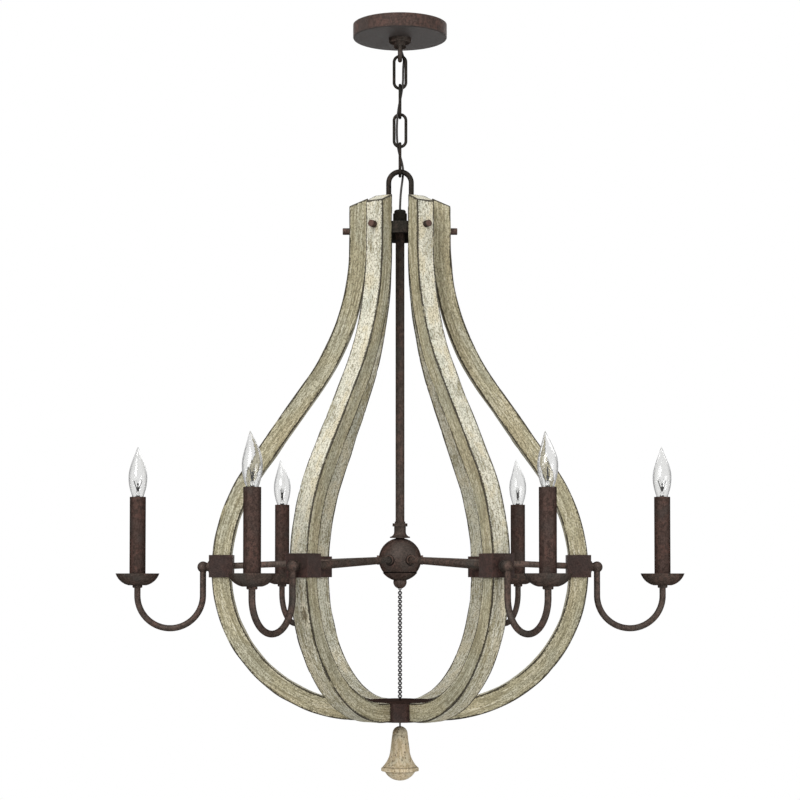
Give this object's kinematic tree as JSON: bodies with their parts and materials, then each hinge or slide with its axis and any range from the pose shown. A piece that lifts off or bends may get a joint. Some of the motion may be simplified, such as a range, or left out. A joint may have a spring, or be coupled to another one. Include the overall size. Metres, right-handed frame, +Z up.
{
  "type": "chandelier",
  "caption": "Hanging chandelier: curved wooden staves round an iron frame, candle-style lights on U-shaped arms, a turned drop, a short chain and a ceiling canopy.",
  "frame": {"origin": "centre of the crossbar's upper face, on the ceiling, midway between the two screw slots", "axes": "+Z up along the hanging axis, +X along the crossbar and out through stave 1"},
  "size_m": [0.7634, 0.6688, 1.0199],
  "materials": {
    "weathered_wood": "limed and weathered, matt",
    "rust_iron": "dark rust brown, matt and mottled",
    "zinc_steel": "zinc plated",
    "socket_black": "matt",
    "cord_brown": "matt",
    "clear_glass": "clear",
    "nickel_brass": "nickel plated"
  },
  "bodies": {
    "ceiling_plate": {"crossbar": "zinc_steel", "nipple": "zinc_steel", "nipple_nut": "zinc_steel", "canopy_loop": "rust_iron"},
    "canopy": {"canopy": "rust_iron", "canopy_ring": "rust_iron"},
    "link_1": {"chain_link_1": "rust_iron"},
    "link_2": {"chain_link_2": "rust_iron"},
    "link_3": {"chain_link_3": "rust_iron"},
    "link_4": {"chain_link_4": "rust_iron"},
    "bulb_base_1": {"bulb_base_1": "nickel_brass"},
    "bulb_1": {"bulb_glass_1": "clear_glass"},
    "bulb_base_2": {"bulb_base_2": "nickel_brass"},
    "bulb_2": {"bulb_glass_2": "clear_glass"},
    "bulb_base_3": {"bulb_base_3": "nickel_brass"},
    "bulb_3": {"bulb_glass_3": "clear_glass"},
    "bulb_base_4": {"bulb_base_4": "nickel_brass"},
    "bulb_4": {"bulb_glass_4": "clear_glass"},
    "bulb_base_5": {"bulb_base_5": "nickel_brass"},
    "bulb_5": {"bulb_glass_5": "clear_glass"},
    "bulb_base_6": {"bulb_base_6": "nickel_brass"},
    "bulb_6": {"bulb_glass_6": "clear_glass"},
    "finial": {"finial": "weathered_wood", "finial_eye": "rust_iron"},
    "fixture": {"stave_1": "weathered_wood", "stave_2": "weathered_wood", "stave_3": "weathered_wood", "stave_4": "weathered_wood", "stave_5": "weathered_wood", "stave_6": "weathered_wood", "top_loop": "rust_iron", "wire_cap": "rust_iron", "top_hub": "rust_iron", "stave_bolts": "rust_iron", "center_rod": "rust_iron", "hub_collar": "rust_iron", "hub_shell": "rust_iron", "hub_cap": "rust_iron", "hub_knob": "rust_iron", "hub_arms": "rust_iron", "stave_clamps": "rust_iron", "arm_collars": "rust_iron", "bobeches": "rust_iron", "bobeche_nuts": "rust_iron", "candle_sleeves": "rust_iron", "bottom_hub": "rust_iron", "bottom_cover": "rust_iron", "fine_chain": "rust_iron", "candle_arm_1": "rust_iron", "candle_arm_2": "rust_iron", "candle_arm_3": "rust_iron", "candle_arm_4": "rust_iron", "candle_arm_5": "rust_iron", "candle_arm_6": "rust_iron", "end_screws": "zinc_steel", "finial_pin": "zinc_steel", "sockets": "socket_black", "terminal_block": "socket_black", "supply_cord": "cord_brown", "lamp_leads": "cord_brown"}
  },
  "joints": [
    {"name": "canopy_drop", "type": "slide", "parent": "ceiling_plate", "child": "canopy", "axis": [0, 0, -1], "range_m": [0, 0.02]},
    {"name": "chain_swing_1", "type": "hinge", "parent": "ceiling_plate", "child": "link_1", "pos_m": [0, 0, -0.048], "axis": [0, 1, 0], "range_deg": [-15, 15], "deforming": ["supply_cord"]},
    {"name": "chain_swing_2", "type": "hinge", "parent": "link_1", "child": "link_2", "pos_m": [0, 0, -0.0868], "axis": [1, 0, 0], "range_deg": [-15, 15], "deforming": ["supply_cord"]},
    {"name": "chain_swing_3", "type": "hinge", "parent": "link_2", "child": "link_3", "pos_m": [0, 0, -0.1266], "axis": [0, 1, 0], "range_deg": [-15, 15], "deforming": ["supply_cord"]},
    {"name": "chain_swing_4", "type": "hinge", "parent": "link_3", "child": "link_4", "pos_m": [0, 0, -0.1664], "axis": [1, 0, 0], "range_deg": [-15, 15], "deforming": ["supply_cord"]},
    {"name": "fixture_swing", "type": "hinge", "parent": "link_4", "child": "fixture", "pos_m": [0, 0, -0.2062], "axis": [0, 1, 0], "range_deg": [-15, 15], "deforming": ["supply_cord"]},
    {"name": "bulb_rise_1", "type": "slide", "parent": "fixture", "child": "bulb_base_1", "axis": [0, 0, 1], "range_m": [0, 0.0102]},
    {"name": "bulb_turn_1", "type": "hinge", "parent": "bulb_base_1", "child": "bulb_1", "pos_m": [0.3524, 0, -0.64366], "axis": [0, 0, 1], "range_deg": [0, 1440]},
    {"name": "bulb_rise_2", "type": "slide", "parent": "fixture", "child": "bulb_base_2", "axis": [0, 0, 1], "range_m": [0, 0.0102]},
    {"name": "bulb_turn_2", "type": "hinge", "parent": "bulb_base_2", "child": "bulb_2", "pos_m": [0.1762, 0.30519, -0.64366], "axis": [0, 0, 1], "range_deg": [0, 1440]},
    {"name": "bulb_rise_3", "type": "slide", "parent": "fixture", "child": "bulb_base_3", "axis": [0, 0, 1], "range_m": [0, 0.0102]},
    {"name": "bulb_turn_3", "type": "hinge", "parent": "bulb_base_3", "child": "bulb_3", "pos_m": [-0.1762, 0.30519, -0.64366], "axis": [0, 0, 1], "range_deg": [0, 1440]},
    {"name": "bulb_rise_4", "type": "slide", "parent": "fixture", "child": "bulb_base_4", "axis": [0, 0, 1], "range_m": [0, 0.0102]},
    {"name": "bulb_turn_4", "type": "hinge", "parent": "bulb_base_4", "child": "bulb_4", "pos_m": [-0.3524, 0, -0.64366], "axis": [0, 0, 1], "range_deg": [0, 1440]},
    {"name": "bulb_rise_5", "type": "slide", "parent": "fixture", "child": "bulb_base_5", "axis": [0, 0, 1], "range_m": [0, 0.0102]},
    {"name": "bulb_turn_5", "type": "hinge", "parent": "bulb_base_5", "child": "bulb_5", "pos_m": [-0.1762, -0.30519, -0.64366], "axis": [0, 0, 1], "range_deg": [0, 1440]},
    {"name": "bulb_rise_6", "type": "slide", "parent": "fixture", "child": "bulb_base_6", "axis": [0, 0, 1], "range_m": [0, 0.0102]},
    {"name": "bulb_turn_6", "type": "hinge", "parent": "bulb_base_6", "child": "bulb_6", "pos_m": [0.1762, -0.30519, -0.64366], "axis": [0, 0, 1], "range_deg": [0, 1440]},
    {"name": "finial_swing", "type": "hinge", "parent": "fixture", "child": "finial", "pos_m": [0, 0, -0.93356], "axis": [0, 1, 0], "range_deg": [-40, 40]}
  ],
  "couplings": [
    {"joint": "bulb_rise_1", "follows": "bulb_turn_1", "m_per_rad": 0.00040425},
    {"joint": "bulb_rise_2", "follows": "bulb_turn_2", "m_per_rad": 0.00040425},
    {"joint": "bulb_rise_3", "follows": "bulb_turn_3", "m_per_rad": 0.00040425},
    {"joint": "bulb_rise_4", "follows": "bulb_turn_4", "m_per_rad": 0.00040425},
    {"joint": "bulb_rise_5", "follows": "bulb_turn_5", "m_per_rad": 0.00040425},
    {"joint": "bulb_rise_6", "follows": "bulb_turn_6", "m_per_rad": 0.00040425}
  ]
}
